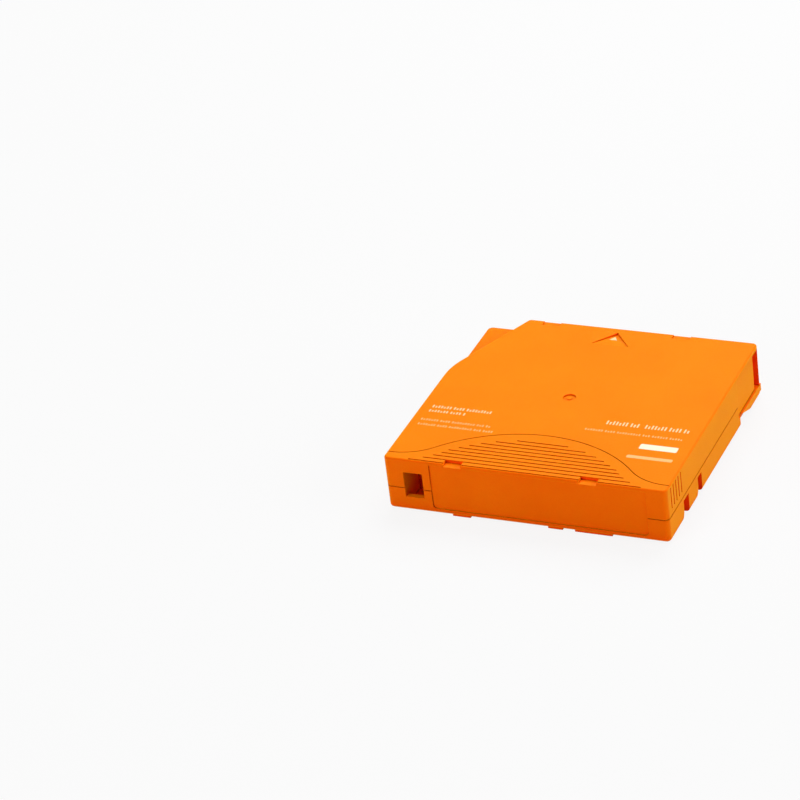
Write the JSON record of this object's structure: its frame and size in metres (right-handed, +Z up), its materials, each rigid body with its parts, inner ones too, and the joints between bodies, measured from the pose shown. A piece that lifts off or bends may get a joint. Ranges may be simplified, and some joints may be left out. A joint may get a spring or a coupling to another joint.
{
  "type": "tape cleaning cartridge",
  "caption": "Flat square-cornered plastic tape cartridge with a sliding side door, a geared reel of cleaning tape inside, a ribbed grip area and a slanting insertion corner.",
  "frame": {"origin": "middle of the footprint, on the plane of the low feet under the case", "axes": "+Z up, -Y out of the label face, +Y out of the leading edge, +X out of the door side"},
  "size_m": [0.1054, 0.102, 0.0215],
  "materials": {
    "case_orange": "fine satin moulded polycarbonate",
    "slider_orange": "satin moulded plastic",
    "reel_white": "satin moulded plastic",
    "brake_grey": "moulded acetal",
    "release_natural": "moulded acetal",
    "drive_steel": "stamped magnetic steel",
    "spring_steel": "drawn spring wire and strip",
    "pin_steel": "turned and polished",
    "clip_plastic": "moulded plastic",
    "cleaning_tape": "coated polyester film",
    "board_green": "solder-masked board",
    "chip_black": "potting resin",
    "screw_zinc": "zinc plated"
  },
  "bodies": {
    "case": {"upper_shell": "case_orange", "lower_shell": "case_orange", "case_screws": "screw_zinc", "memory_board": "board_green", "memory_chip": "chip_black", "leader_pin": "pin_steel", "leader_pin_clip": "clip_plastic", "leader_pin_spring": "spring_steel", "tape_end_run": "cleaning_tape", "door_spring": "spring_steel", "brake_spring": "spring_steel"},
    "door": {"access_door": "case_orange"},
    "slider": {"write_protect_slider": "slider_orange"},
    "reel": {"reel_hub": "reel_white", "reel_upper_flange": "reel_white", "drive_plate": "drive_steel", "cleaning_tape_roll": "cleaning_tape"},
    "brake": {"brake_button": "brake_grey"},
    "release": {"release_plate": "release_natural"}
  },
  "joints": [
    {"name": "door_slide", "type": "slide", "parent": "case", "child": "door", "axis": [0, -1, 0], "range_m": [0, 0.0166], "stiffness_N_per_m": 20, "springref_m": -0.01, "deforming": ["door_spring"]},
    {"name": "slider_slide", "type": "slide", "parent": "case", "child": "slider", "axis": [-1, 0, 0], "range_m": [0, 0.0064]},
    {"name": "reel_spin", "type": "hinge", "parent": "case", "child": "reel", "pos_m": [-0.0016, 0.0008, 0.01], "axis": [0, 0, 1], "continuous": true},
    {"name": "brake_lift", "type": "slide", "parent": "case", "child": "brake", "axis": [0, 0, 1], "range_m": [0, 0.0016], "stiffness_N_per_m": 200, "springref_m": -0.004, "deforming": ["brake_spring"]},
    {"name": "release_lift", "type": "slide", "parent": "reel", "child": "release", "axis": [0, 0, 1], "range_m": [0, 0.0016]}
  ],
  "couplings": [
    {"joint": "release_lift", "follows": "brake_lift", "ratio": 1}
  ]
}
